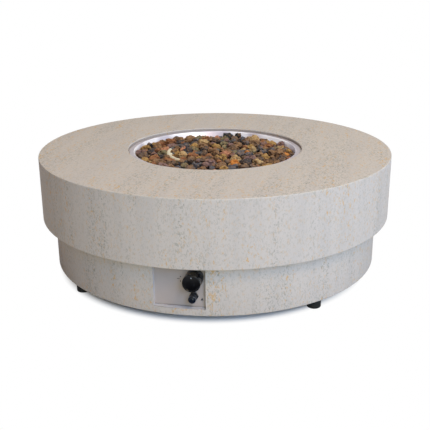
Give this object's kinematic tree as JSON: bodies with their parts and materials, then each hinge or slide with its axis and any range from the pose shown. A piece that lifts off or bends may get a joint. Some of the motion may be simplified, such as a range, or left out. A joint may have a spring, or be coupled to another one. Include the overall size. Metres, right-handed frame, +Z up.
{
  "type": "fire pit table",
  "caption": "Round low gas fire pit table: cast stone-look top with a deep apron over a set-back drum, burner pan full of lava rock, and a recessed panel with gas knob and push igniter.",
  "frame": {"origin": "on the floor, under the middle of the table", "axes": "+Z up; the control panel faces -Y, with +X to its right; the gas inlet is in the back, at +Y"},
  "size_m": [1.0668, 1.0668, 0.36],
  "materials": {
    "cast_stone": "cast and ground, with a travertine pattern, sealed, satin",
    "stainless": "bright rolled stainless sheet",
    "heated_stainless": "stainless tube, straw-coloured by heat",
    "zinc_steel": "zinc plated",
    "spring_steel": "bright spring wire",
    "brass": "machined brass",
    "aluminium": "plain",
    "rubber": "black, matt",
    "fibre": "pressed heat-proof fibre",
    "panel_paint": "painted to match the stone, matt",
    "black_plastic": "moulded, black, fine satin",
    "white_paint": "white",
    "battery_case": "plain wrapped cell",
    "ceramic": "unglazed white",
    "silicone": "red silicone",
    "copper_sheath": "copper capillary",
    "lava_bed": "loose lava rock, rough",
    "lava_stone": "porous, rough, mixed rust, brown, tan and slate"
  },
  "bodies": {
    "table": {"tabletop": "cast_stone", "base_drum": "cast_stone", "burner_pan": "stainless", "heat_shield": "stainless", "burner_ring": "heated_stainless", "foot_bolts": "zinc_steel", "top_brackets": "zinc_steel", "bracket_screws": "zinc_steel", "shield_studs": "zinc_steel", "shield_spacers": "zinc_steel", "shield_nuts": "zinc_steel", "panel_screws": "zinc_steel", "line_clips": "zinc_steel", "clip_screws": "zinc_steel", "electrode_bracket": "zinc_steel", "station_fixings": "zinc_steel", "burner_locknuts": "zinc_steel", "burner_nipple": "zinc_steel", "valve_nut": "zinc_steel", "air_mixer": "zinc_steel", "button_spring": "spring_steel", "electrode_wire": "spring_steel", "thermocouple": "spring_steel", "foot_inserts": "brass", "bracket_inserts": "brass", "orifice_elbow": "brass", "inlet_union": "brass", "inlet_locknut": "brass", "inlet_elbow": "brass", "supply_nuts": "brass", "feed_nuts": "brass", "valve_body": "aluminium", "supply_line": "aluminium", "feed_tube": "aluminium", "foot_rear_right": "rubber", "foot_rear_left": "rubber", "foot_front_left": "rubber", "foot_front_right": "rubber", "table_pads": "rubber", "lead_grommet": "rubber", "pan_gasket": "fibre", "control_panel": "panel_paint", "knob_bezel": "black_plastic", "igniter_body": "black_plastic", "igniter_nut": "black_plastic", "igniter_cap": "black_plastic", "igniter_battery": "battery_case", "electrode_ceramic": "ceramic", "ignition_lead": "silicone", "thermocouple_lead": "copper_sheath", "lava_bed": "lava_bed", "lava_stones": "lava_stone"},
    "gas_rotor": {"valve_rotor": "brass", "stem_spring": "spring_steel"},
    "knob": {"valve_stem": "brass", "control_knob": "black_plastic", "knob_pointer": "white_paint"},
    "button": {"igniter_button": "black_plastic"}
  },
  "joints": [
    {"name": "knob_turn", "type": "hinge", "parent": "table", "child": "gas_rotor", "pos_m": [0.0398, -0.478, 0.13219], "axis": [0, -1, 0], "range_deg": [0, 180]},
    {"name": "knob_push", "type": "slide", "parent": "gas_rotor", "child": "knob", "axis": [0, 1, 0], "range_m": [0, 0.003], "stiffness_N_per_m": 1200, "springref_m": -0.003, "deforming": ["stem_spring"]},
    {"name": "button_push", "type": "slide", "parent": "table", "child": "button", "axis": [0, 1, 0], "range_m": [0, 0.003], "stiffness_N_per_m": 600, "springref_m": -0.003, "deforming": ["button_spring"]}
  ]
}
